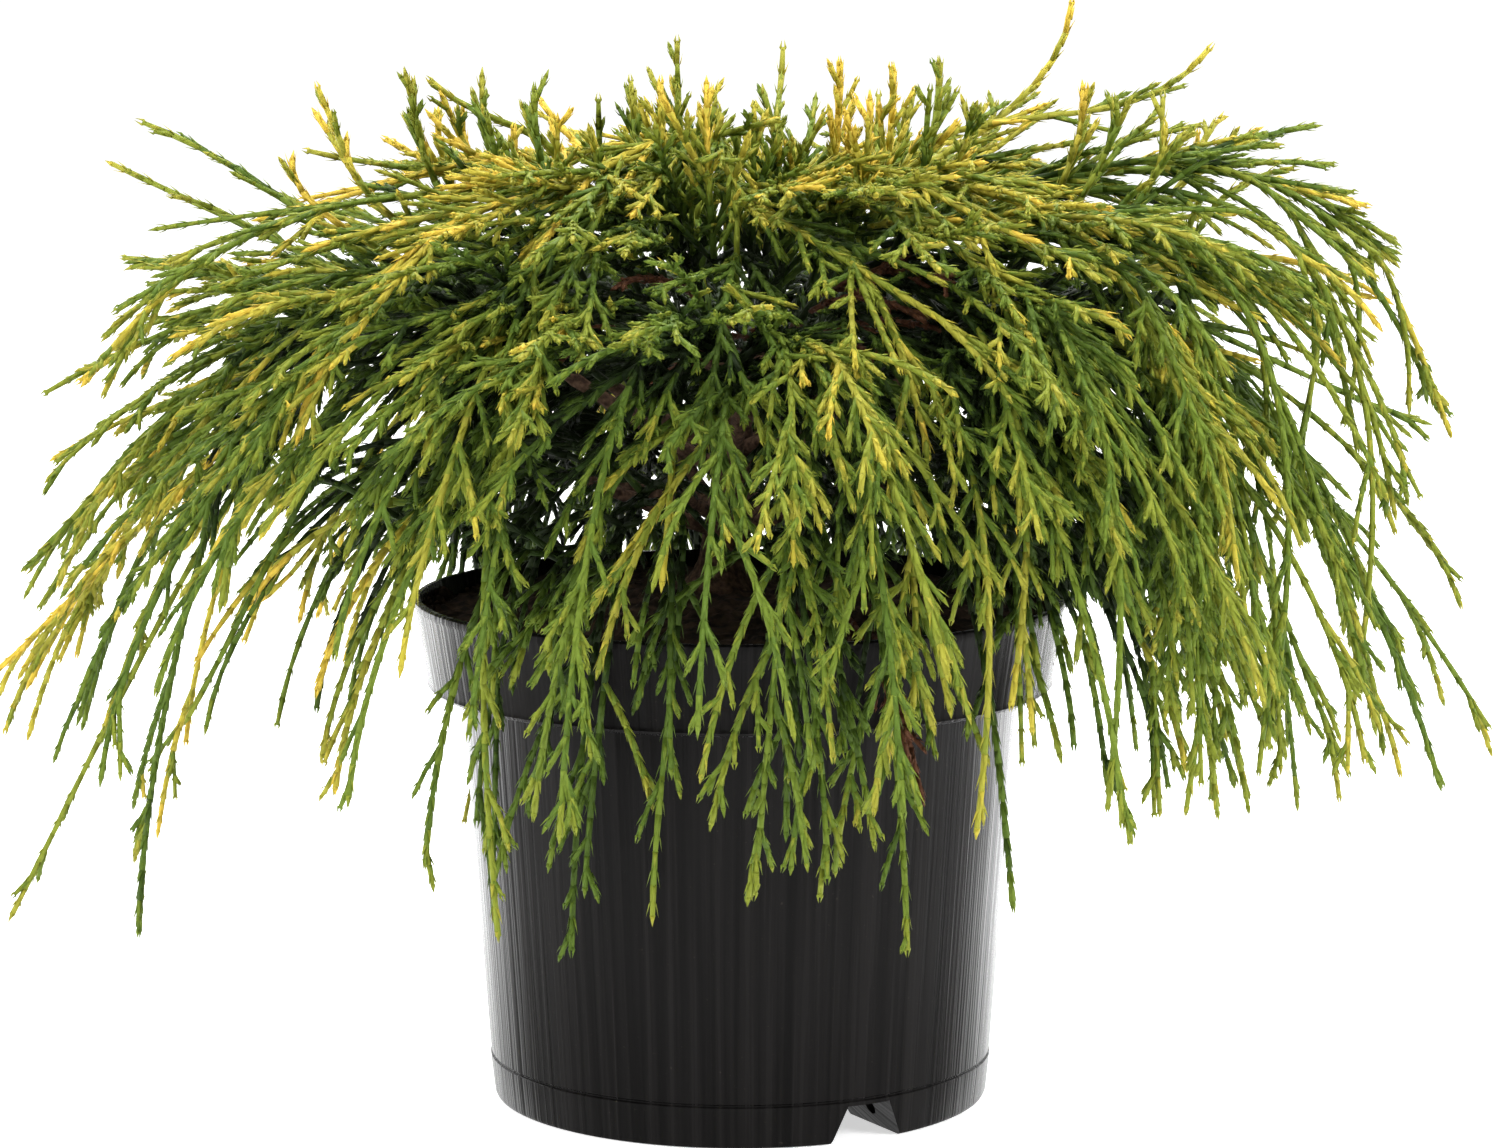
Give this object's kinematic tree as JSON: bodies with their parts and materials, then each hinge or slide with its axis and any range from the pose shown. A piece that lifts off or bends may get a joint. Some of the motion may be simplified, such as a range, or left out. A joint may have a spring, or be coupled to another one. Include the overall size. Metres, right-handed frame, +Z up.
{
  "type": "potted threadleaf sawara cypress",
  "caption": "Low weeping golden threadleaf conifer shrub with cord-like drooping shoots, in a round black plastic nursery pot filled with peat.",
  "frame": {"origin": "on the floor under the middle of the pot", "axes": "+Z up the stem, +X to the right across the wider crown, the front faces -Y"},
  "size_m": [0.438, 0.3916, 0.319],
  "materials": {
    "pot_plastic": "glossy black moulded plastic with fine upright streaks and scuffs",
    "peat": "dark crumbly moist peat with bark chips",
    "bark": "dull brown scaly bark",
    "foliage": "scale leaves on cords, from deep green inside to yellow-green and gold tips"
  },
  "bodies": {
    "root": {"pot": "pot_plastic", "soil": "peat", "stem": "bark", "bough_top_01": "bark", "bough_top_02": "bark", "bough_top_03": "bark", "bough_top_04": "bark", "bough_top_05": "bark", "bough_top_06": "bark", "bough_outer_01": "bark", "bough_outer_02": "bark", "bough_outer_03": "bark", "bough_outer_04": "bark", "bough_outer_05": "bark", "bough_outer_06": "bark", "bough_outer_07": "bark", "bough_outer_08": "bark", "bough_skirt_01": "bark", "bough_skirt_02": "bark", "bough_skirt_03": "bark", "bough_skirt_04": "bark", "bough_skirt_05": "bark", "bough_skirt_06": "bark", "bough_skirt_07": "bark", "bough_skirt_08": "bark", "foliage_top_01": "foliage", "foliage_top_02": "foliage", "foliage_top_03": "foliage", "foliage_top_04": "foliage", "foliage_top_05": "foliage", "foliage_top_06": "foliage", "foliage_outer_01": "foliage", "foliage_outer_02": "foliage", "foliage_outer_03": "foliage", "foliage_outer_04": "foliage", "foliage_outer_05": "foliage", "foliage_outer_06": "foliage", "foliage_outer_07": "foliage", "foliage_outer_08": "foliage", "foliage_skirt_01": "foliage", "foliage_skirt_02": "foliage", "foliage_skirt_03": "foliage", "foliage_skirt_04": "foliage", "foliage_skirt_05": "foliage", "foliage_skirt_06": "foliage", "foliage_skirt_07": "foliage", "foliage_skirt_08": "foliage"}
  },
  "joints": []
}
